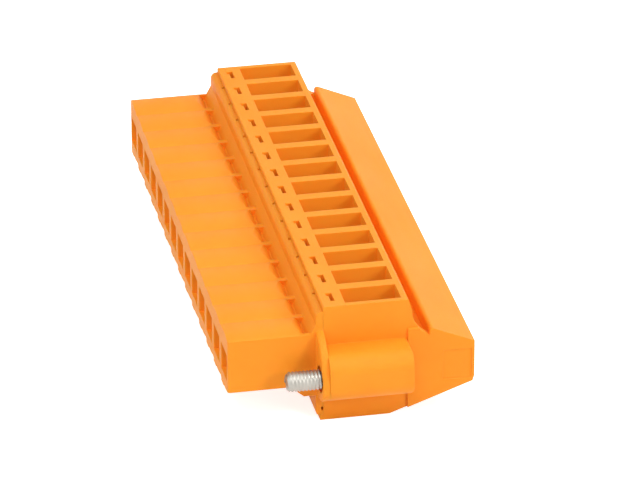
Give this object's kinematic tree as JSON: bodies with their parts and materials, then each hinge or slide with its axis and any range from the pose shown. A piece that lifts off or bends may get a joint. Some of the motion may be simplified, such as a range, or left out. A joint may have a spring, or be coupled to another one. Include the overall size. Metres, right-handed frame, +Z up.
{
  "type": "pluggable terminal block",
  "caption": "Pluggable terminal block with a row of spring-clamp poles, a crowned plug nose, a wire cover and a captive screw at each end.",
  "frame": {"origin": "centre of the bounding box, on the plane of the flat base", "axes": "+X from the mating face to the wire side, +Y along the row of poles, +Z up from the base"},
  "size_m": [0.0308, 0.0804, 0.0155],
  "materials": {
    "orange_plastic": "satin moulded polyamide",
    "tinned_contact": "dull tin plating",
    "clamp_steel": "bright rolled strip",
    "screw_zinc": "zinc plated"
  },
  "bodies": {
    "housing": {"front_housing": "orange_plastic", "rear_housing": "orange_plastic", "contact_1": "tinned_contact", "contact_2": "tinned_contact", "contact_3": "tinned_contact", "contact_4": "tinned_contact", "contact_5": "tinned_contact", "contact_6": "tinned_contact", "contact_7": "tinned_contact", "contact_8": "tinned_contact", "contact_9": "tinned_contact", "contact_10": "tinned_contact", "contact_11": "tinned_contact", "contact_12": "tinned_contact", "contact_13": "tinned_contact", "contact_14": "tinned_contact", "clamp_1": "clamp_steel", "clamp_2": "clamp_steel", "clamp_3": "clamp_steel", "clamp_4": "clamp_steel", "clamp_5": "clamp_steel", "clamp_6": "clamp_steel", "clamp_7": "clamp_steel", "clamp_8": "clamp_steel", "clamp_9": "clamp_steel", "clamp_10": "clamp_steel", "clamp_11": "clamp_steel", "clamp_12": "clamp_steel", "clamp_13": "clamp_steel", "clamp_14": "clamp_steel"},
    "screw_left": {"flange_screw_left": "screw_zinc"},
    "screw_right": {"flange_screw_right": "screw_zinc"}
  },
  "joints": [
    {"name": "screw_left_turn", "type": "hinge", "parent": "housing", "child": "screw_left", "pos_m": [-0.00443, -0.0381, 0.00705], "axis": [1, 0, 0], "continuous": true},
    {"name": "screw_right_turn", "type": "hinge", "parent": "housing", "child": "screw_right", "pos_m": [-0.00443, 0.0381, 0.00705], "axis": [1, 0, 0], "continuous": true}
  ]
}
